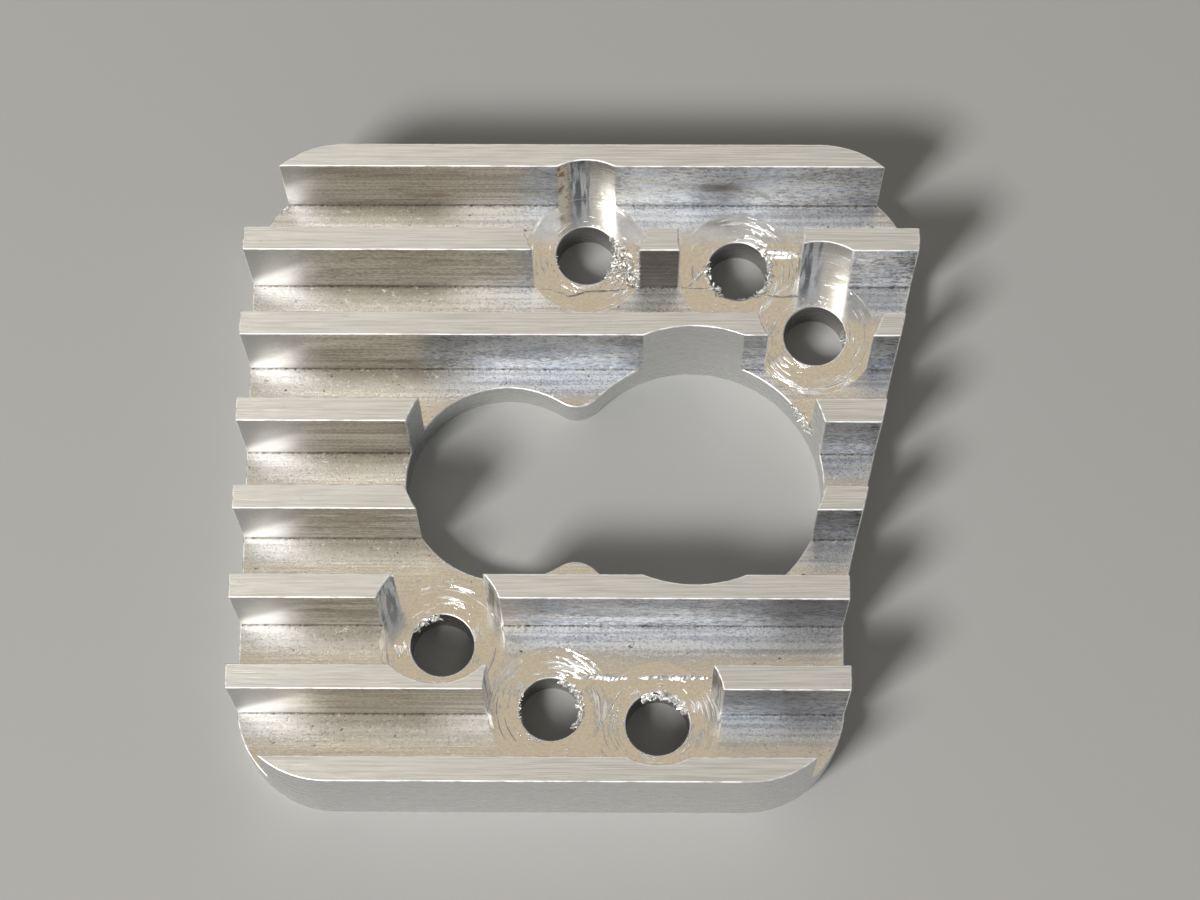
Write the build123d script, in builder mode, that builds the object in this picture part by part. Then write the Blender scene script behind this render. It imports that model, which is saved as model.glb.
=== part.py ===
from build123d import *
from math import asin, atan2, hypot, tan
import os

# Machined mounting block: one piece of aluminium cut from finned stock.
# X runs along the fins, Y across them towards the back, and Z up out of the base.
# The origin is the centre of the bounding box, on the underside.

# Stock
fin_count = 8
fin_pitch = 5.0
fin_thickness = 1.4
fin_height = 5.8
base_thickness = 2.5

# Outline
overall_width = 37.7  # at its widest, beside the back fins
front_width = 33.45  # across the front fins, where both sides are square
corner_radius = 5.5
square_side = 11.4  # how far back the right side stays square before it slants outwards

# Figure-eight cut-out, on the line midway between the front and back
small_lobe_radius = 5.65
large_lobe_radius = 7.35
lobe_spacing = 10.4
cutout_inset = 1.0  # the large lobe's edge, in from the line of the square right side
waist_radius = 1.6

# Clearance holes for M3, each in a washer seat milled through the fins to the groove floors
hole_diameter = 3.5
seat_diameter = 7.0
back_holes = [(0.25, 13.7), (8.9, 12.75), (13.25, 8.85)]
front_holes = [(-7.6, -9.35), (-1.55, -12.95), (4.3, -13.75)]

# Sizes that follow from the ones above
depth = (fin_count - 1) * fin_pitch + fin_thickness
height = base_thickness + fin_height
groove_width = fin_pitch - fin_thickness
front_y = -depth / 2
back_y = depth / 2
left_x = -overall_width / 2
square_right_x = left_x + front_width
large_lobe_x = square_right_x - cutout_inset - large_lobe_radius
small_lobe_x = large_lobe_x - lobe_spacing

# The right side slants out from the end of its square part, tangent to the back
# corner's arc, whose rightmost point is the widest of the block.
slant_start_y = front_y + square_side
run_x = overall_width / 2 - corner_radius - square_right_x
run_y = back_y - corner_radius - slant_start_y
slant_angle = atan2(run_x, run_y) + asin(corner_radius / hypot(run_x, run_y))
slant_end_x = square_right_x + (back_y - slant_start_y) * tan(slant_angle)

with BuildPart() as mounting_block:
    # Stock, cut to its outline
    with BuildSketch() as outline:
        with BuildLine():
            Polyline(
                (left_x, front_y),
                (square_right_x, front_y),
                (square_right_x, slant_start_y),
                (slant_end_x, back_y),
                (left_x, back_y),
                close=True,
            )
        make_face()
        corners = outline.vertices().group_by(Axis.Y)
        fillet(corners[0] + corners[-1], radius=corner_radius)
    extrude(amount=height)

    # Cut-out of two round lobes, with the waist between them rounded over
    with BuildSketch():
        with Locations((small_lobe_x, 0)):
            Circle(small_lobe_radius)
        with Locations((large_lobe_x, 0)):
            Circle(large_lobe_radius)
    extrude(amount=height, mode=Mode.SUBTRACT)
    cut_edges = mounting_block.edges(Select.LAST).filter_by(Axis.Z).group_by(Axis.Y)
    fillet(cut_edges[0] + cut_edges[-1], radius=waist_radius)

    # Grooves, which leave the fins
    with BuildSketch(Plane.XY.offset(base_thickness)):
        with GridLocations(overall_width, fin_pitch, 1, fin_count - 1):
            Rectangle(2 * overall_width, groove_width)
    extrude(amount=fin_height, mode=Mode.SUBTRACT)

    # Screw holes and their washer seats, milled from the tops of the fins
    with Locations(Plane.XY.offset(height)):
        with Locations(*back_holes, *front_holes):
            CounterBoreHole(
                radius=hole_diameter / 2,
                counter_bore_radius=seat_diameter / 2,
                counter_bore_depth=fin_height,
                depth=height,
            )

mounting_block.part.label = "mounting_block"

os.makedirs("parts", exist_ok=True)
export_step(mounting_block.part, "parts/mounting_block.step")
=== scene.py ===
import math

import bmesh
import bpy
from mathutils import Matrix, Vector, noise


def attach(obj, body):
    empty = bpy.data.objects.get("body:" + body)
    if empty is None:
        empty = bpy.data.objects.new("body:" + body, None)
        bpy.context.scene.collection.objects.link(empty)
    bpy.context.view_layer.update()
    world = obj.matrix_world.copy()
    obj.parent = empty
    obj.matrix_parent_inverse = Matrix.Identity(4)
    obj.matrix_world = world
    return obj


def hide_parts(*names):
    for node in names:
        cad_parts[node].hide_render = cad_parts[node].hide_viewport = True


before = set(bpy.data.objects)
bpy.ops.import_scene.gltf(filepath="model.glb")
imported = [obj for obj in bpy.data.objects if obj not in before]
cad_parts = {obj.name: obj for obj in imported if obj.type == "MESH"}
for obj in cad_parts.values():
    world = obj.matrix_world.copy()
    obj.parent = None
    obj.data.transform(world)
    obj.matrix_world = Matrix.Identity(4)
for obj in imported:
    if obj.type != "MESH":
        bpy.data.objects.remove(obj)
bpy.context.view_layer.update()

# A machined mounting block, cut from finned aluminium stock.
# X runs along the fins, Y across them towards the back, and Z up out of the base.
# The CAD frame is in metres; the sizes here are in millimetres, and MM turns them.
MM = 0.001

scene = bpy.context.scene

# The stock
BASE_TOP = 2.5
FIN_TOP = 8.3
FIN_PITCH = 5.0
FIN_THICKNESS = 1.4
FIN_BACKS = [18.2 - FIN_PITCH * k for k in range(8)]
FIN_FRONTS = [back - FIN_THICKNESS for back in FIN_BACKS]
LEFT_END = -18.85
CORNER_RADIUS = 5.5

# The opening's large lobe
LOBE_CENTRE = (6.25, 0.0)
LOBE_RADIUS = 7.35

# The washer seats' axes, from the back left round to the front right
SEAT_RADIUS = 3.5
HOLE_RADIUS = 1.75
SEATS = {
    "back_left": (0.25, 13.7),
    "back_middle": (8.9, 12.75),
    "back_right": (13.25, 8.85),
    "front_left": (-7.6, -9.35),
    "front_middle": (-1.55, -12.95),
    "front_right": (4.3, -13.75),
}


# ---------------------------------------------------------------- node helpers


class Graph:
    """Adds nodes to a tree. A socket given as an input is linked, and anything else is its value."""

    def __init__(self, tree):
        self.tree = tree
        tree.nodes.clear()

    def add(self, kind, inputs=None, **settings):
        node = self.tree.nodes.new(kind)
        for name, value in settings.items():
            setattr(node, name, value)
        for key, value in (inputs or {}).items():
            if isinstance(value, bpy.types.NodeSocket):
                self.tree.links.new(value, node.inputs[key])
            else:
                node.inputs[key].default_value = value
        return node

    def math(self, operation, a, b=0.0, clamp=False):
        return self.add("ShaderNodeMath", {0: a, 1: b}, operation=operation, use_clamp=clamp).outputs[0]

    def vector(self, operation, a, b=(0, 0, 0), result="Vector"):
        node = self.add("ShaderNodeVectorMath", {0: a, 1: b}, operation=operation)
        return node.outputs[result]

    def smooth(self, value, low, high, to_low=0.0, to_high=1.0):
        inputs = {"Value": value, 1: low, 2: high, 3: to_low, 4: to_high}
        return self.add("ShaderNodeMapRange", inputs, interpolation_type="SMOOTHSTEP").outputs[0]

    def mix(self, share, a, b):
        """Colours a and b, mixed by share."""
        node = self.add("ShaderNodeMix", data_type="RGBA", clamp_factor=True)
        for socket, value in zip((node.inputs[0], node.inputs[6], node.inputs[7]), (share, a, b)):
            if isinstance(value, bpy.types.NodeSocket):
                self.tree.links.new(value, socket)
            else:
                socket.default_value = value
        return node.outputs[2]

    def blend(self, share, a, b):
        """Numbers a and b, mixed by share."""
        inputs = {0: share, 2: a, 3: b}
        return self.add("ShaderNodeMix", inputs, data_type="FLOAT", clamp_factor=True).outputs[0]

    def noise(self, place, size, detail=2.0, roughness=0.5, stretch=(1, 1, 1)):
        """Noise about size millimetres across, longer along an axis by its stretch."""
        scale = tuple(1 / (size * s) for s in stretch)
        where = self.vector("MULTIPLY", place, scale)
        inputs = {"Vector": where, "Scale": 1.0, "Detail": detail, "Roughness": roughness}
        return self.add("ShaderNodeTexNoise", inputs).outputs["Fac"]


def grey(red, green, blue):
    """An opaque colour, near grey in everything here."""
    return (red, green, blue, 1.0)


def new_finish(name):
    """A material with the place on the part, in millimetres, ready to use."""
    material = bpy.data.materials.new(name)
    material.use_nodes = True
    graph = Graph(material.node_tree)
    metres = graph.add("ShaderNodeTexCoord").outputs["Object"]
    place = graph.vector("MULTIPLY", metres, (1 / MM, 1 / MM, 1 / MM))
    return material, graph, place


def close_finish(graph, colour, roughness, height, depth, anisotropic=0.0):
    """Ends a bare aluminium finish: height, from 0 to 1, stands depth millimetres high."""
    bump = graph.add("ShaderNodeBump", {"Height": height, "Distance": depth * MM, "Strength": 1.0})
    shader = graph.add(
        "ShaderNodeBsdfPrincipled",
        {
            "Base Color": colour,
            "Metallic": 1.0,
            "Roughness": roughness,
            "Normal": bump.outputs[0],
        },
    )
    if anisotropic:
        shader.inputs["Anisotropic"].default_value = anisotropic
        tangent = graph.add("ShaderNodeTangent", direction_type="UV_MAP", uv_map="across")
        graph.tree.links.new(tangent.outputs[0], shader.inputs["Tangent"])
    out = graph.add("ShaderNodeOutputMaterial")
    graph.tree.links.new(shader.outputs[0], out.inputs[0])


# ------------------------------------------------------------------- finishes


def fin_top_finish():
    """The fins' sawn tops: fine lines along the fin, with a few darker nicks."""
    material, graph, place = new_finish("sawn_fin_top")
    lines = graph.smooth(graph.noise(place, 0.10, 2, 0.6, (45, 1, 1)), 0.3, 0.7)
    broad = graph.noise(place, 0.5, 2, 0.5, (16, 1, 1))
    spots = graph.noise(place, 0.7, 4, 0.7, (1.6, 1, 1))
    nicks = graph.smooth(spots, 0.66, 0.72)
    colour = graph.mix(lines, grey(0.70, 0.68, 0.64), grey(0.90, 0.88, 0.84))
    colour = graph.mix(graph.math("MULTIPLY", nicks, 0.35), colour, grey(0.42, 0.39, 0.35))
    roughness = graph.blend(broad, 0.34, 0.46)
    height = graph.blend(0.35, lines, broad)
    close_finish(graph, colour, roughness, height, 0.02, 0.8)
    return material


def parts_of(graph, place):
    """The place's x, y and z."""
    return graph.add("ShaderNodeSeparateXYZ", {0: place}).outputs[:3]


def ahead_of_wall(graph, y):
    """How far y lies in front of the fin wall behind it."""
    return graph.math("FLOORED_MODULO", graph.math("SUBTRACT", FIN_FRONTS[0], y), FIN_PITCH)


def is_near(graph, value, middle, reach):
    """1 where value lies within reach of middle."""
    inputs = {0: value, 1: middle, 2: reach}
    return graph.add("ShaderNodeMath", inputs, operation="COMPARE").outputs[0]


def painted_left_flare(graph, x, z, shade):
    """A painted reflection: a bright flare that runs up to the right from the foot of each wall's left end.
    """
    rise = graph.math("MULTIPLY", graph.math("SUBTRACT", z, BASE_TOP + 0.3), 1.1)
    past = graph.math("SUBTRACT", graph.math("SUBTRACT", x, LEFT_END), rise)
    painted_flare = graph.math("MULTIPLY", graph.smooth(past, -1.4, 0.1), graph.smooth(past, 3.4, 0.8))
    painted_flare = graph.math("MULTIPLY", painted_flare, graph.blend(shade, 0.75, 1.1))
    return graph.mix(painted_flare, grey(0.54, 0.54, 0.53), grey(1.0, 1.0, 1.0))


def brown_smudge(graph, place):
    """One round brown smudge on the back fin, above the middle seat."""
    off = graph.vector("SUBTRACT", place, (7.9, 16.8, 5.2))
    off = graph.vector("MULTIPLY", off, (0.6, 0.2, 1.2))
    return graph.smooth(graph.vector("LENGTH", off, result="Value"), 1.3, 0.1, 0.0, 0.75)


def extruded_wall_finish():
    """The fins' sides: brown drawn lines on the left, and a cool bright mottle on the right; the brown and
    cool tones are painted reflections.
    """
    material, graph, place = new_finish("extruded_fin_side")
    x, y, z = parts_of(graph, place)
    lines = graph.smooth(graph.noise(place, 0.20, 4, 0.7, (50, 1, 1)), 0.3, 0.7)
    bands = graph.smooth(graph.noise(place, 0.8, 3, 0.6, (25, 1, 1)), 0.3, 0.7)
    grain = graph.smooth(graph.noise(place, 0.12, 3, 0.75, (2.0, 1, 1)), 0.3, 0.7)
    shade = graph.blend(0.4, graph.blend(0.5, lines, bands), grain)
    drawn = graph.smooth(shade, 0.22, 0.78)
    brown = graph.mix(drawn, grey(0.55, 0.51, 0.44), grey(1.0, 0.98, 0.91))
    smudges = graph.smooth(graph.noise(place, 1.3, 4, 0.65, (3.0, 1, 0.7)), 0.53, 0.66)
    brown = graph.mix(graph.math("MULTIPLY", smudges, 0.42), brown, grey(0.32, 0.22, 0.14))
    # Painted reflection: the bright flare at the left end of each wall
    brown = graph.mix(graph.smooth(x, -14.0, -16.8), brown, painted_left_flare(graph, x, z, shade))

    # Painted shade: the cool right part is darker along the top, and darker again at the front right, and
    # lighter on the back fin
    clouds = graph.smooth(graph.noise(place, 2.2, 3, 0.6, (2.6, 1, 0.55)), 0.36, 0.62)
    # Grain flecks, which the cool part paints bright as glints
    glint_flecks = graph.smooth(graph.noise(place, 0.26, 4, 0.8, (1.7, 1, 0.9)), 0.40, 0.60)
    mottle = graph.smooth(graph.blend(0.40, graph.blend(0.6, clouds, glint_flecks), grain), 0.20, 0.80)
    rear = graph.smooth(y, 14.0, 16.0)
    dark = graph.mix(rear, grey(0.32, 0.33, 0.35), grey(0.50, 0.50, 0.49))
    cool = graph.mix(mottle, dark, grey(0.98, 0.99, 1.0))
    # Blue patches of painted reflection in the cool part
    blue = graph.smooth(graph.noise(place, 1.4, 3, 0.6, (3.0, 1, 0.6)), 0.48, 0.60)
    cool = graph.mix(graph.math("MULTIPLY", blue, 0.30), cool, grey(0.62, 0.73, 0.95))
    upper_shade = graph.math("MULTIPLY", graph.smooth(z, 4.0, 7.4), graph.smooth(y, 14.0, 8.0, 0.0, 0.42))
    cool = graph.mix(upper_shade, cool, grey(0.24, 0.23, 0.22))
    front_right = graph.math("MULTIPLY", graph.smooth(x, 9.0, 12.0), graph.smooth(y, 0.0, -5.0))
    cool = graph.mix(graph.math("MULTIPLY", front_right, 0.38), cool, grey(0.24, 0.23, 0.22))

    # The painted brown reflection ends at the back left seat, and sooner on the third fin
    third = is_near(graph, y, FIN_FRONTS[2], 0.6)
    along = graph.math("ADD", x, graph.math("MULTIPLY", third, 5.6))
    along = graph.math("ADD", along, graph.math("MULTIPLY", clouds, 0.8))
    share = graph.smooth(along, -3.8, -1.8)
    colour = graph.mix(share, brown, cool)

    # The short piece left between the back seats is darker and brown
    second_fin = is_near(graph, y, FIN_FRONTS[1], 0.3)
    short_piece = is_near(graph, x, 4.6, 1.7)
    dark_brown_piece = graph.mix(lines, grey(0.26, 0.23, 0.20), grey(0.44, 0.40, 0.36))
    colour = graph.mix(graph.math("MULTIPLY", second_fin, short_piece), colour, dark_brown_piece)
    # A round brown smudge darkens the back fin above the middle seat
    smudge = graph.math("MULTIPLY", brown_smudge(graph, place), rear)
    colour = graph.mix(smudge, colour, grey(0.20, 0.15, 0.11))
    # Painted shade darkens each wall in the crease at its foot, broken up by the grain
    foot_shade = graph.math("MULTIPLY", graph.smooth(z, 2.70, 2.58), graph.blend(grain, 0.8, 0.2))
    colour = graph.mix(foot_shade, colour, grey(0.14, 0.12, 0.10))
    roughness = graph.blend(share, graph.blend(bands, 0.36, 0.46), graph.blend(glint_flecks, 0.26, 0.44))
    height = graph.blend(0.6, lines, graph.blend(share, grain, glint_flecks))
    close_finish(graph, colour, roughness, height, 0.028, 0.3)
    return material


def seat_offsets(graph, place):
    """The flat offset from each seat's axis, and its length."""
    flat = graph.vector("MULTIPLY", place, (1, 1, 0))
    offsets = [graph.vector("SUBTRACT", flat, (x, y, 0)) for x, y in SEATS.values()]
    return [(offset, graph.vector("LENGTH", offset, result="Value")) for offset in offsets]


def nearest_seat(graph, offsets):
    """Distance from the nearest seat's axis."""
    nearest = offsets[0][1]
    for _offset, away in offsets[1:]:
        nearest = graph.math("MINIMUM", nearest, away)
    return nearest


def seat_swirls(graph, offsets):
    """Short smears that run round each seat's axis."""
    swirls = []
    for number, (offset, away) in enumerate(offsets):
        right, deep, _up = parts_of(graph, offset)
        turn = graph.math("MULTIPLY", graph.math("ARCTAN2", deep, right), 2.6)
        polar = {"X": turn, "Y": away, "Z": 7.0 * number}
        polar = graph.add("ShaderNodeCombineXYZ", polar).outputs[0]
        arcs = graph.noise(polar, 0.17, 3, 0.65, (9, 1, 1))
        patches = graph.math("SUBTRACT", graph.noise(polar, 1.1, 2, 0.5, (1.6, 1, 1)), 0.5)
        arcs = graph.math("ADD", arcs, graph.math("MULTIPLY", patches, 0.9))
        inside = graph.math("LESS_THAN", away, SEAT_RADIUS)
        swirls.append(graph.math("MULTIPLY", graph.smooth(arcs, 0.58, 0.74), inside))
    strongest = swirls[0]
    for swirl in swirls[1:]:
        strongest = graph.math("MAXIMUM", strongest, swirl)
    return strongest


def floor_finish():
    """The groove floors, drawn along the fins, and the seats' floors, with a cutter's smears."""
    material, graph, place = new_finish("groove_and_seat_floor")
    x, y, _z = parts_of(graph, place)
    ahead = ahead_of_wall(graph, y)
    offsets = seat_offsets(graph, place)
    away = nearest_seat(graph, offsets)
    swirls = seat_swirls(graph, offsets)
    in_seat = graph.smooth(away, SEAT_RADIUS + 0.03, SEAT_RADIUS - 0.03)
    outside = graph.math("SUBTRACT", 1.0, in_seat)
    lines = graph.smooth(graph.noise(place, 0.22, 4, 0.6, (50, 1, 1)), 0.3, 0.7)
    grain = graph.smooth(graph.noise(place, 0.12, 3, 0.75, (1.5, 1, 1)), 0.3, 0.7)
    drawn = graph.blend(0.35, lines, grain)
    glint_flecks = graph.smooth(graph.noise(place, 0.20, 3, 0.75, (1.7, 1, 1)), 0.58, 0.68)
    glint_flecks = graph.math("MULTIPLY", glint_flecks, outside)
    pits = graph.smooth(graph.noise(place, 0.34, 3, 0.7, (1.4, 1, 1)), 0.68, 0.71)

    # A pale streaked band runs along each wall's foot, rougher and painted with the wall's reflection, warm
    # at the left and cool at the right, and beyond it the floor is plain and tan
    wander = graph.noise(place, 1.5, 2, 0.5, (3, 1, 1))
    band = graph.smooth(graph.math("ADD", ahead, graph.math("MULTIPLY", wander, 0.9)), 2.5, 1.6)
    streak = graph.smooth(graph.blend(0.35, lines, grain), 0.2, 0.8)
    warm = graph.mix(streak, grey(0.74, 0.72, 0.68), grey(0.93, 0.91, 0.88))
    cool = graph.mix(streak, grey(0.60, 0.63, 0.69), grey(1.0, 1.0, 1.0))
    near = graph.mix(graph.smooth(x, -9.0, -3.0), warm, cool)
    plain = graph.mix(grain, grey(0.79, 0.75, 0.69), grey(0.92, 0.88, 0.82))
    colour = graph.mix(band, plain, near)

    # The wall's shade falls on its foot at the left, and more faintly at the right
    left = graph.math("MULTIPLY", graph.smooth(x, -5.5, -9.0), graph.smooth(x, -17.5, -13.5))
    shaded = graph.math("MAXIMUM", left, graph.math("MULTIPLY", graph.smooth(x, 10.0, 12.5), 0.6))
    foot_shade = graph.math("MULTIPLY", graph.smooth(ahead, 1.8, 0.3), shaded)
    colour = graph.mix(graph.math("MULTIPLY", foot_shade, 0.70), colour, grey(0.20, 0.17, 0.13))
    # Painted glints: white flecks, which are also rougher
    colour = graph.mix(graph.math("MULTIPLY", glint_flecks, 0.7), colour, grey(1.0, 1.0, 0.98))
    # Painted shade darkens the crease along each wall's foot, and the pits are dark too
    crease_shade = graph.math("MULTIPLY", graph.smooth(ahead, 0.12, 0.05), graph.blend(grain, 0.8, 0.1))
    dark = graph.math("MULTIPLY", graph.math("MAXIMUM", crease_shade, pits), outside)
    colour = graph.mix(dark, colour, grey(0.12, 0.10, 0.08))

    seat = graph.mix(grain, grey(0.77, 0.74, 0.69), grey(0.90, 0.87, 0.82))
    # The smears are rougher and bumped, and painted white as a glint
    seat = graph.mix(swirls, seat, grey(1.0, 1.0, 0.99))
    colour = graph.mix(in_seat, colour, seat)
    pitted = graph.math("MULTIPLY", graph.math("SUBTRACT", drawn, pits), 0.6)
    height = graph.blend(in_seat, pitted, swirls)
    rough = graph.blend(band, graph.blend(grain, 0.14, 0.22), graph.blend(grain, 0.24, 0.38))
    rough = graph.blend(glint_flecks, rough, 0.42)
    roughness = graph.blend(in_seat, rough, graph.blend(swirls, 0.15, 0.36))
    close_finish(graph, colour, roughness, height, 0.016)
    return material


def milled_wall_finish():
    """What a side cutter left: the outline, the cut-out, the holes and the seats' walls."""
    material, graph, place = new_finish("milled_wall")
    x, y, z = parts_of(graph, place)
    away = nearest_seat(graph, seat_offsets(graph, place))
    levels = graph.noise(place, 0.3, 3, 0.6, (14, 14, 1))
    chatter = graph.noise(place, 0.12, 2, 0.5, (1, 1, 30))
    colour = graph.mix(levels, grey(0.58, 0.58, 0.58), grey(0.74, 0.74, 0.73))

    # The seats' tall walls are streaked from top to bottom, partly milling marks and partly painted
    # reflection, and the painted reflection is brighter on the right of their axis
    above_base = graph.smooth(z, BASE_TOP, BASE_TOP + 0.1)
    in_seat = graph.math("LESS_THAN", away, SEAT_RADIUS + 0.05)
    in_seat = graph.math("MULTIPLY", in_seat, above_base)
    streaks = graph.smooth(graph.noise(place, 0.34, 3, 0.65, (1, 1, 16)), 0.42, 0.58)
    seat_wall_streaks_and_reflection = graph.mix(streaks, grey(0.20, 0.21, 0.22), grey(0.92, 0.95, 0.98))
    left_x, right_x = SEATS["back_left"][0], SEATS["back_right"][0]
    past_middle = graph.math("GREATER_THAN", x, 7.0)
    axis = graph.math("ADD", graph.math("MULTIPLY", past_middle, right_x - left_x), left_x)
    off_axis = graph.math("SUBTRACT", x, axis)
    seat_wall_streaks_and_reflection = graph.mix(graph.smooth(off_axis, -0.1, 0.6, 0.0, 0.95), seat_wall_streaks_and_reflection, grey(1.0, 1.0, 1.0))

    # A painted reflection colours the left edge of the back left one gold
    gold_patches = graph.smooth(graph.noise(place, 0.5, 3, 0.7, (1, 1, 1.4)), 0.38, 0.50)
    gold = graph.mix(gold_patches, grey(0.40, 0.22, 0.12), grey(1.0, 0.90, 0.70))
    gold_reflection_band = graph.math("MULTIPLY", graph.smooth(x, -0.55, -0.95), graph.smooth(x, -2.2, -1.9))
    gold_side = graph.math("MULTIPLY", gold_reflection_band, graph.math("GREATER_THAN", y, 15.0))
    seat_wall_streaks_and_reflection = graph.mix(gold_side, seat_wall_streaks_and_reflection, gold)
    colour = graph.mix(in_seat, colour, seat_wall_streaks_and_reflection)

    # Painted shade darkens the holes' walls
    in_hole = graph.math("LESS_THAN", away, HOLE_RADIUS + 0.05)
    colour = graph.mix(graph.math("MULTIPLY", in_hole, 0.6), colour, grey(0.20, 0.18, 0.16))
    roughness = graph.blend(levels, 0.22, 0.34)
    height = graph.blend(0.4, levels, graph.blend(in_seat, chatter, streaks))
    close_finish(graph, colour, roughness, height, 0.008)
    return material


def worn_edge_finish():
    """The narrow breaks along every edge, polished and nicked by handling, and painted brighter in patches as
    a highlight.
    """
    material, graph, place = new_finish("broken_edge")
    nicks = graph.noise(place, 0.35, 4, 0.65, (2.2, 1, 1))
    worn_and_highlit = graph.smooth(nicks, 0.35, 0.6)
    colour = graph.mix(worn_and_highlit, grey(0.80, 0.79, 0.77), grey(1.0, 1.0, 1.0))
    close_finish(graph, colour, graph.blend(worn_and_highlit, 0.35, 0.62), nicks, 0.03)
    return material


# ----------------------------------------------------------- the dressed block


def surface_kind(centre, normal):
    """Which finish a face of the block takes, from where it is and which way it faces."""
    _x, y, z = centre / MM
    if normal.z < -0.7:
        return "milled"
    if normal.z > 0.7:
        return "top" if z > 0.5 * (BASE_TOP + FIN_TOP) else "floor"
    on_fin_side = abs(normal.y) > 0.99 and any(abs(y - side) < 0.02 for side in FIN_BACKS + FIN_FRONTS)
    outermost = abs(y) > FIN_BACKS[0] - 0.05
    return "side" if on_fin_side and not outermost else "milled"


def dress_block(node):
    """The CAD block again with its edges broken, and each face in the finish its tool left."""
    kinds = ["top", "side", "floor", "milled", "edge"]
    mesh = bpy.data.meshes.new("finned_block")
    shape = bmesh.new()
    shape.from_mesh(node.data)
    bmesh.ops.remove_doubles(shape, verts=shape.verts, dist=2e-6)
    bmesh.ops.dissolve_limit(
        shape, angle_limit=math.radians(0.4), verts=shape.verts, edges=shape.edges
    )
    for face in shape.faces:
        face.normal_update()
        face.material_index = kinds.index(surface_kind(face.calc_center_median(), face.normal))
        face.smooth = True
    broken = shape.edges.layers.float.new("bevel_weight_edge")
    for edge in shape.edges:
        if edge.is_manifold and edge.calc_face_angle() > math.radians(28):
            edge[broken] = 1.0 if edge.is_convex else 0.0
    shape.to_mesh(mesh)
    shape.free()
    block = bpy.data.objects.new("finned_block", mesh)
    scene.collection.objects.link(block)
    for finish in (
        fin_top_finish(),
        extruded_wall_finish(),
        floor_finish(),
        milled_wall_finish(),
        worn_edge_finish(),
    ):
        mesh.materials.append(finish)
    breaks = block.modifiers.new("broken edges", "BEVEL")
    breaks.width = 0.08 * MM
    breaks.segments = 2
    breaks.limit_method = "WEIGHT"
    breaks.use_clamp_overlap = False
    breaks.material = kinds.index("edge")
    applied = bpy.data.meshes.new_from_object(
        block.evaluated_get(bpy.context.evaluated_depsgraph_get())
    )
    block.modifiers.clear()
    block.data = applied
    applied.name = "finned_block"
    lay_across(applied)
    set_normals(applied, kinds)
    return block


def set_normals(mesh, kinds):
    """Flat faces keep one normal, round walls turn smoothly, and the broken edges run between."""
    round_wall, edge_break = kinds.index("milled"), kinds.index("edge")
    around = [[] for _ in mesh.vertices]
    for face in mesh.polygons:
        for corner in face.vertices:
            around[corner].append(face)
    normals = [None] * len(mesh.loops)
    for face in mesh.polygons:
        for loop, corner in zip(face.loop_indices, face.vertices):
            normal = face.normal.copy()
            if face.material_index == round_wall:
                near = [
                    other
                    for other in around[corner]
                    if other.material_index == round_wall and other.normal.dot(face.normal) > 0.88
                ]
                normal = sum((other.normal * other.area for other in near), Vector())
            elif face.material_index == edge_break:
                beside = [other for other in around[corner] if other.normal.dot(face.normal) > 0.3]
                near = [other for other in beside if other.material_index != edge_break] or beside
                normal = sum((other.normal * other.area for other in near), Vector())
            normals[loop] = normal.normalized()
    mesh.normals_split_custom_set(normals)


def lay_across(mesh):
    """A UV map in millimetres, whose first axis crosses the lines that each face was drawn with."""
    layer = mesh.uv_layers.new(name="across")
    for face in mesh.polygons:
        sideways = abs(face.normal.x) > abs(face.normal.y) and abs(face.normal.z) < 0.7
        for loop in face.loop_indices:
            x, y, z = mesh.vertices[mesh.loops[loop].vertex_index].co / MM
            layer.data[loop].uv = (z, y) if sideways else (y + z, x)


# ------------------------------------------------------------- burrs and smears


def torn_metal_finish():
    """Fresh torn aluminium, bright and unevenly rough."""
    material, graph, place = new_finish("torn_metal")
    grain = graph.noise(place, 0.07, 3, 0.7)
    colour = graph.mix(grain, grey(0.80, 0.78, 0.74), grey(0.98, 0.97, 0.95))
    close_finish(graph, colour, graph.blend(grain, 0.25, 0.5), grain, 0.02)
    return material


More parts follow.
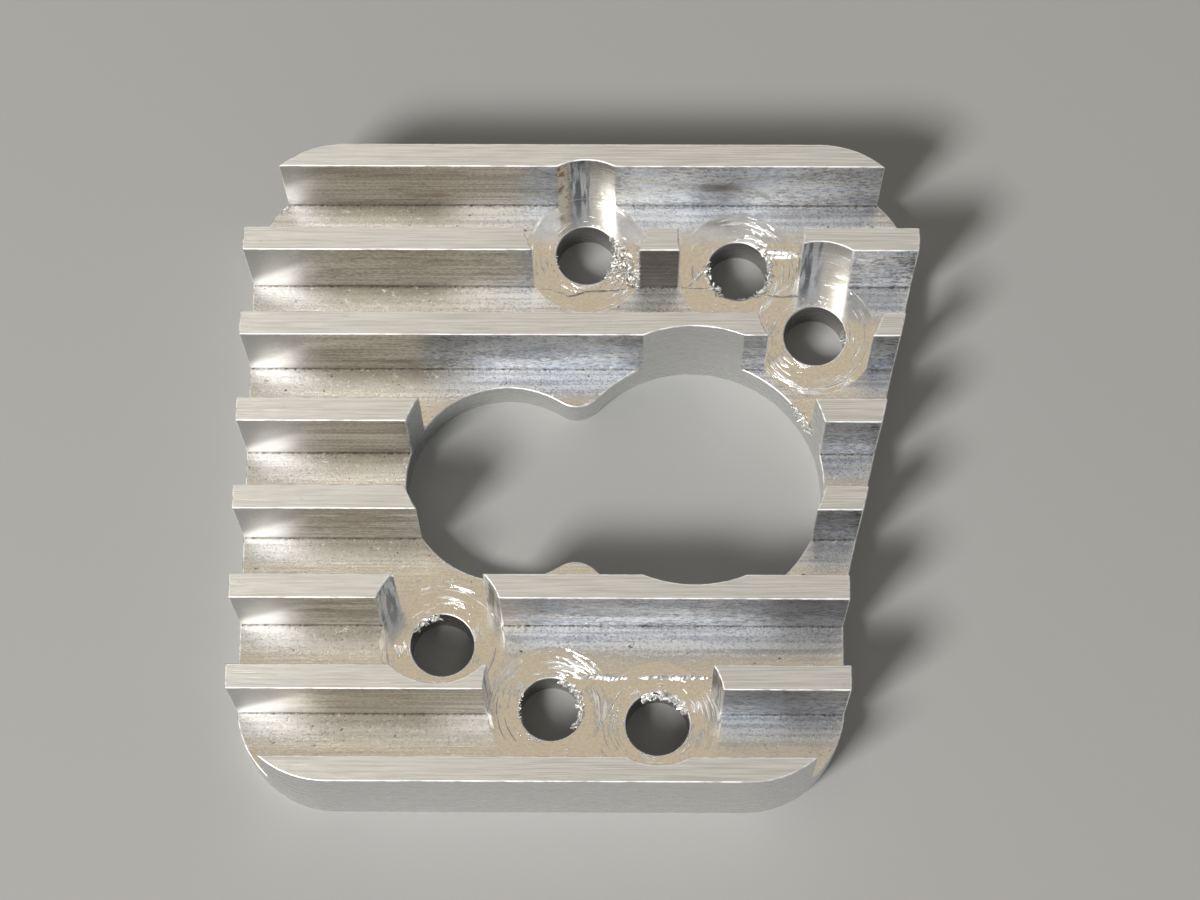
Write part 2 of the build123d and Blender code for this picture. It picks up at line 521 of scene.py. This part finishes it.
def burr_tree(finish):
    """Crumbs of torn metal strewn along the edges of whatever mesh the tree is given."""
    tree = bpy.data.node_groups.new("torn_burr", "GeometryNodeTree")
    sockets = tree.interface
    sockets.new_socket("Line", in_out="INPUT", socket_type="NodeSocketGeometry")
    for name, value in (
        ("Spacing", 0.08),
        ("Spread", 0.1),
        ("Length", 0.12),
        ("Width", 0.05),
        ("Thickness", 0.03),
    ):
        size = sockets.new_socket(name, in_out="INPUT", socket_type="NodeSocketFloat")
        size.default_value = value * MM
    sockets.new_socket("Seed", in_out="INPUT", socket_type="NodeSocketInt").default_value = 1
    sockets.new_socket("Burr", in_out="OUTPUT", socket_type="NodeSocketGeometry")
    graph = Graph(tree)
    given = graph.add("NodeGroupInput").outputs
    seed = given["Seed"]

    def chance(kind, low, high, shift):
        """A random number or vector for each crumb, from low to high."""
        moved = graph.math("ADD", seed, shift)
        node = graph.add("FunctionNodeRandomValue", {"Seed": moved}, data_type=kind)
        ends = {"FLOAT": (2, 3), "FLOAT_VECTOR": (0, 1)}[kind]
        node.inputs[ends[0]].default_value = low
        node.inputs[ends[1]].default_value = high
        return node.outputs[{"FLOAT": 1, "FLOAT_VECTOR": 0}[kind]]

    line = graph.add("GeometryNodeMeshToCurve", {"Mesh": given["Line"]})
    points = graph.add(
        "GeometryNodeResampleCurve", {"Curve": line.outputs[0], "Length": given["Spacing"]}, mode="LENGTH"
    )
    aim = chance("FLOAT_VECTOR", (-1, -1, -0.2), (1, 1, 0.9), 11)
    throw = graph.add("ShaderNodeVectorMath", {0: aim, "Scale": given["Spread"]}, operation="SCALE")
    thrown = graph.add(
        "GeometryNodeSetPosition", {"Geometry": points.outputs[0], "Offset": throw.outputs[0]}
    )
    crumb = graph.add("GeometryNodeMeshIcoSphere", {"Radius": 1.0, "Subdivisions": 1})
    full = graph.add(
        "ShaderNodeCombineXYZ", {"X": given["Length"], "Y": given["Width"], "Z": given["Thickness"]}
    )
    share = chance("FLOAT", 0.35, 1.0, 23)
    vary = graph.add("ShaderNodeVectorMath", {0: full.outputs[0], "Scale": share}, operation="SCALE")
    turn = chance("FLOAT_VECTOR", (-0.9, -0.9, -3.2), (0.9, 0.9, 3.2), 37)
    placed = graph.add(
        "GeometryNodeInstanceOnPoints",
        {
            "Points": thrown.outputs[0],
            "Instance": crumb.outputs[0],
            "Rotation": turn,
            "Scale": vary.outputs[0],
        },
    )
    real = graph.add("GeometryNodeRealizeInstances", {0: placed.outputs[0]})
    dressed = graph.add(
        "GeometryNodeSetMaterial", {"Geometry": real.outputs[0], "Material": finish}
    )
    graph.add("NodeGroupOutput", {0: dressed.outputs[0]})
    return tree


def polyline(points):
    """A mesh of edges through points, in millimetres."""
    mesh = bpy.data.meshes.new("line")
    steps = [(i, i + 1) for i in range(len(points) - 1)]
    mesh.from_pydata([Vector(point) * MM for point in points], steps, [])
    return mesh


def strew(tree, points, seed, **sizes):
    """Runs the burr tree along points, in millimetres, and returns the mesh that it makes."""
    holder = bpy.data.objects.new("burr", polyline(points))
    scene.collection.objects.link(holder)
    torn = holder.modifiers.new("burr", "NODES")
    torn.node_group = tree
    inputs = [item for item in tree.interface.items_tree if item.in_out == "INPUT"]
    identifiers = {item.name: item.identifier for item in inputs}
    torn[identifiers["Seed"]] = seed
    for name, value in sizes.items():
        torn[identifiers[name.capitalize()]] = value * MM
    made = bpy.data.meshes.new_from_object(
        holder.evaluated_get(bpy.context.evaluated_depsgraph_get())
    )
    holder.modifiers.clear()
    bpy.data.objects.remove(holder)
    return made


def arc(centre, radius, start, end, z=BASE_TOP, steps=12):
    """Points round a centre, from start to end in degrees, turning left from +X."""
    x, y = centre
    turns = [math.radians(start + (end - start) * i / steps) for i in range(steps + 1)]
    return [(x + radius * math.cos(a), y + radius * math.sin(a), z) for a in turns]


def round_rim(seat, start, end, radius=HOLE_RADIUS, z=BASE_TOP, steps=12):
    """Points round a seat's axis."""
    return arc(SEATS[seat], radius, start, end, z, steps)


def seat_side(seat, y, side):
    """Where a seat's wall crosses y, on its left side (-1) or its right side (1)."""
    centre_x, centre_y = SEATS[seat]
    return centre_x + side * math.sqrt(SEAT_RADIUS**2 - (y - centre_y) ** 2)


def ridge(shape, points, width, height, seed, ragged=0.3):
    """A low closed ridge of smeared metal along points, fading out at both ends."""
    count = len(points)
    sunk = Vector((0, 0, 0.02))
    rows = []
    for i, point in enumerate(points):
        here = Vector(point)
        ahead = Vector(points[min(i + 1, count - 1)]) - Vector(points[max(i - 1, 0)])
        side = Vector((-ahead.y, ahead.x, 0)).normalized()
        fade = math.sin(math.pi * (i + 0.5) / count) ** 0.6
        jog = noise.noise(here * 2.3 + Vector((seed, 0, 0)))
        rise = height * fade * (1 + ragged * 2 * noise.noise(here * 5.1 + Vector((0, seed, 0))))
        half = 0.5 * width * fade * (1 + ragged * jog)
        lean = 0.5 * half * jog
        rows.append(
            [
                shape.verts.new((here - side * half - sunk) * MM),
                shape.verts.new((here + side * lean + Vector((0, 0, max(rise, 0.01)))) * MM),
                shape.verts.new((here + side * half - sunk) * MM),
            ]
        )
    for a, b in zip(rows, rows[1:]):
        for i in range(3):
            j = (i + 1) % 3
            shape.faces.new((a[i], b[i], b[j], a[j]))
    shape.faces.new(reversed(rows[0]))
    shape.faces.new(rows[-1])


# Bent lips where a fin was milled away nearly flush: points on the floor, width and height
LIPS = (
    ([(-2.7, 11.7), (-1.8, 11.6), (-0.7, 11.2), (0.25, 11.5), (1.7, 11.55), (2.9, 11.7)], 0.14, 0.14),
    ([(5.6, 11.75), (6.5, 11.7), (7.5, 11.75)], 0.10, 0.10),
    ([(10.4, 11.35), (11.2, 11.2), (12.5, 11.25), (12.9, 10.8), (13.1, 10.7)], 0.14, 0.14),
    ([(10.5, 13.95), (11.6, 13.92), (12.6, 13.90)], 0.34, 0.10),
    ([(10.6, 13.70), (11.5, 13.66), (12.5, 13.68)], 0.30, 0.13),
    ([(-0.4, -11.15), (0.6, -11.1), (1.8, -11.2), (3.0, -11.15)], 0.34, 0.12),
    ([(3.0, -11.15), (4.2, -11.1), (5.4, -11.15), (7.6, -11.1)], 0.36, 0.12),
    ([(6.1, 11.8), (6.8, 12.6), (7.4, 13.0)], 0.30, 0.10),
)

# Arcs of smeared metal in the seats: seat, radius, start and end in degrees, width and height
SMEARS = (
    ("back_right", 3.05, 205, 250, 0.16, 0.05),
    ("back_right", 2.75, 215, 240, 0.14, 0.05),
    ("back_right", 3.10, 262, 300, 0.20, 0.06),
    ("back_right", 2.70, 268, 290, 0.14, 0.05),
    ("back_right", 3.00, 305, 345, 0.16, 0.05),
    ("back_right", 2.50, 318, 342, 0.12, 0.04),
    ("front_left", 3.20, 40, 100, 0.10, 0.05),
    ("front_left", 2.75, 62, 96, 0.20, 0.06),
    ("front_left", 2.40, 70, 100, 0.16, 0.05),
    ("front_left", 2.95, 325, 352, 0.12, 0.04),
    ("front_left", 3.10, 165, 205, 0.14, 0.05),
    ("front_middle", 2.70, 62, 105, 0.24, 0.07),
    ("front_middle", 2.35, 70, 95, 0.18, 0.06),
    ("front_middle", 3.00, 165, 215, 0.12, 0.05),
    ("front_middle", 2.60, 190, 225, 0.14, 0.05),
    ("front_middle", 2.70, -5, 22, 0.20, 0.06),
    ("front_right", 2.60, 8, 32, 0.22, 0.07),
    ("front_right", 2.90, 2, 34, 0.20, 0.07),
    ("front_right", 3.20, 8, 36, 0.16, 0.06),
    ("front_right", 2.30, 14, 40, 0.16, 0.05),
    ("front_right", 2.70, 130, 165, 0.16, 0.05),
    ("back_middle", 2.60, -18, 12, 0.18, 0.05),
    ("back_middle", 2.95, -12, 10, 0.14, 0.05),
    ("back_middle", 2.60, 172, 200, 0.14, 0.05),
)


def rim_burrs():
    """Where torn crumbs lie, on the rims and on the edges that the cutter left last."""
    sixth_tip = seat_side("front_left", FIN_BACKS[5], -1)
    tip_top = FIN_TOP - 0.15
    piece_front = FIN_FRONTS[1]
    piece_end = seat_side("back_left", piece_front, 1)
    back_left_corner = (LEFT_END + CORNER_RADIUS, FIN_BACKS[0] - CORNER_RADIUS)
    return (
        (round_rim("back_left", 35, -50), dict(spread=0.15, length=0.18, width=0.08, spacing=0.03)),
        (
            [(2.0, 14.2, 2.6), (2.5, 13.2, 2.6), (2.2, 12.6, 2.6), (2.9, 12.9, 2.6), (3.1, 12.0, 2.6)],
            dict(spread=0.42, length=0.20, width=0.09, spacing=0.022),
        ),
        ([(1.2, 12.0, 2.55), (2.4, 12.2, 2.55)], dict(spread=0.25, length=0.10, width=0.05, spacing=0.05)),
        (
            [(piece_end, piece_front, 8.0), (piece_end, piece_front, 2.6)],
            dict(spread=0.10, length=0.20, width=0.04, spacing=0.12),
        ),
        (round_rim("back_left", 205, 180), dict(spread=0.05, length=0.1, width=0.05, spacing=0.08)),
        (round_rim("back_middle", 165, 235), dict(spread=0.16, length=0.22, width=0.09, spacing=0.045)),
        (round_rim("back_middle", 45, -55, 1.9), dict(spread=0.15, length=0.24, width=0.10, spacing=0.03)),
        (round_rim("back_middle", 240, 305), dict(spread=0.05, length=0.14, width=0.05, spacing=0.1)),
        (round_rim("back_right", -18, 8, 1.62), dict(spread=0.15, length=0.16, width=0.05, spacing=0.03)),
        (round_rim("front_left", 95, 150, 1.6), dict(spread=0.13, length=0.26, width=0.10, spacing=0.04)),
        (round_rim("front_middle", 75, -40, 1.65), dict(spread=0.13, length=0.28, width=0.10, spacing=0.035)),
        (round_rim("front_middle", 150, 205), dict(spread=0.07, length=0.14, width=0.05, spacing=0.07)),
        (round_rim("front_right", 120, 20, 1.6), dict(spread=0.15, length=0.32, width=0.13, spacing=0.03)),
        (
            arc(LOBE_CENTRE, LOBE_RADIUS, 38, 24),
            dict(spread=0.20, length=0.42, width=0.07, spacing=0.05),
        ),
        (
            [(sixth_tip, FIN_BACKS[5] + 0.1, tip_top), (sixth_tip, FIN_BACKS[5] - 0.1, tip_top)],
            dict(spread=0.06, length=0.14, width=0.06, spacing=0.05),
        ),
        (
            arc(back_left_corner, CORNER_RADIUS - 0.1, 132, 137),
            dict(spread=0.10, length=0.20, width=0.10, spacing=0.05),
        ),
        (round_rim("back_left", 196, 226, 2.1), dict(spread=0.03, length=0.12, width=0.08, spacing=0.33)),
        (
            [(2.1, 13.1, 2.55), (2.6, 12.8, 2.55), (2.9, 12.0, 2.55)],
            dict(spread=0.30, length=0.24, width=0.12, spacing=0.03),
        ),
    )


def jagged(points, seed):
    """Points on the groove floor again, closer together and with a small jog each."""
    fine = []
    for (ax, ay), (bx, by) in zip(points, points[1:]):
        steps = max(2, int(math.hypot(bx - ax, by - ay) / 0.12))
        for i in range(steps):
            share = i / steps
            x = ax + (bx - ax) * share
            jog = 0.06 * noise.noise(Vector((x, ay, seed)) * 4.0)
            fine.append((x, ay + (by - ay) * share + jog, BASE_TOP))
    return fine


def make_burrs():
    """All the torn and smeared metal as one plain piece."""
    finish = torn_metal_finish()
    tree = burr_tree(finish)
    shape = bmesh.new()
    seed = 0
    for points, sizes in rim_burrs():
        seed += 1
        shape.from_mesh(strew(tree, points, seed, **sizes))
    for points, width, height in LIPS:
        seed += 1
        ridge(shape, jagged(points, seed), width, height, seed, 0.6)
    for seat, radius, start, end, width, height in SMEARS:
        seed += 1
        steps = max(4, int(abs(end - start) / 4))
        ridge(shape, round_rim(seat, start, end, radius, steps=steps), width, height, seed)
    mesh = bpy.data.meshes.new("torn_burrs")
    shape.to_mesh(mesh)
    shape.free()
    mesh.materials.clear()
    mesh.materials.append(finish)
    for face in mesh.polygons:
        face.material_index = 0
    burrs = bpy.data.objects.new("torn_burrs", mesh)
    scene.collection.objects.link(burrs)
    return burrs


block = dress_block(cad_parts["mounting_block"])
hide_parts("mounting_block")
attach(block, "root")

burrs = make_burrs()
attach(burrs, "root")


# -------------------------------------------------------------- floor and light


def pale_floor():
    """A wide plain table top under the block."""
    mesh = bpy.data.meshes.new("table")
    half = 0.6
    mesh.from_pydata(
        [(-half, -half, 0), (half, -half, 0), (half, half, 0), (-half, half, 0)], [], [(0, 1, 2, 3)]
    )
    table = bpy.data.objects.new("table", mesh)
    scene.collection.objects.link(table)
    material, graph, place = new_finish("pale_table")
    cloud = graph.noise(place, 60, 2, 0.5)
    colour = graph.mix(cloud, grey(0.40, 0.405, 0.40), grey(0.43, 0.43, 0.42))
    shader = graph.add("ShaderNodeBsdfPrincipled", {"Base Color": colour, "Roughness": 0.6})
    out = graph.add("ShaderNodeOutputMaterial")
    graph.tree.links.new(shader.outputs[0], out.inputs[0])
    mesh.materials.append(material)


def soft_room():
    """A plain room: a bright patch high behind, a warmer ceiling, and dimmer in front."""
    world = bpy.data.worlds.new("studio")
    scene.world = world
    world.use_nodes = True
    graph = Graph(world.node_tree)
    way = graph.add("ShaderNodeTexCoord").outputs["Generated"]
    across, deep, _up = graph.add("ShaderNodeSeparateXYZ", {0: way}).outputs[:3]

    def patch(over, direction, inner, outer, colour):
        """Colour over what is there, inside a soft round of these two angles in degrees."""
        facing = graph.vector("DOT_PRODUCT", way, tuple(Vector(direction).normalized()), result="Value")
        share = graph.smooth(facing, math.cos(math.radians(outer)), math.cos(math.radians(inner)))
        return graph.mix(share, over, colour)

    front = graph.mix(
        graph.smooth(across, -0.09, -0.02), grey(0.40, 0.36, 0.30), grey(0.42, 0.44, 0.48)
    )
    colour = graph.mix(graph.smooth(deep, -0.1, 0.2), front, grey(0.30, 0.29, 0.27))
    colour = patch(colour, (0, 0.75, 0.66), 16, 32, grey(0.95, 0.93, 0.88))
    colour = patch(colour, (0, 0.30, 0.95), 10, 18, grey(0.60, 0.52, 0.40))
    # What the metal mirrors is brighter than what the room lights
    rays = graph.add("ShaderNodeLightPath").outputs
    mirrored = graph.math("MAXIMUM", rays["Is Camera Ray"], rays["Is Glossy Ray"])
    colour = graph.mix(mirrored, grey(0.235, 0.222, 0.200), colour)
    shader = graph.add("ShaderNodeBackground", {"Color": colour, "Strength": 1.0})
    out = graph.add("ShaderNodeOutputWorld")
    graph.tree.links.new(shader.outputs[0], out.inputs[0])


def panel_light(name, place, size, watts, colour):
    """A square soft light at place, in metres, turned to the block."""
    lamp = bpy.data.lights.new(name, "AREA")
    lamp.shape = "SQUARE"
    lamp.size = size
    lamp.energy = watts
    lamp.color = colour
    light = bpy.data.objects.new(name, lamp)
    scene.collection.objects.link(light)
    light.location = place
    light.rotation_euler = (-Vector(place)).to_track_quat("-Z", "Y").to_euler()


def camera_over_block():
    """Nearly overhead, a little to the front."""
    data = bpy.data.cameras.new("camera")
    data.lens = 97.26
    data.sensor_width = 36.0
    data.clip_start = 0.01
    camera = bpy.data.objects.new("camera", data)
    scene.collection.objects.link(camera)
    camera.location = (0.002320, -0.052665, 0.176808)
    camera.rotation_euler = (0.30393, 0.0056, 0.00503)
    scene.camera = camera


pale_floor()
soft_room()
panel_light("window", (-0.28, -0.28, 0.46), 0.14, 3.25, (1.0, 0.99, 0.97))
camera_over_block()

scene.view_settings.view_transform = "Standard"
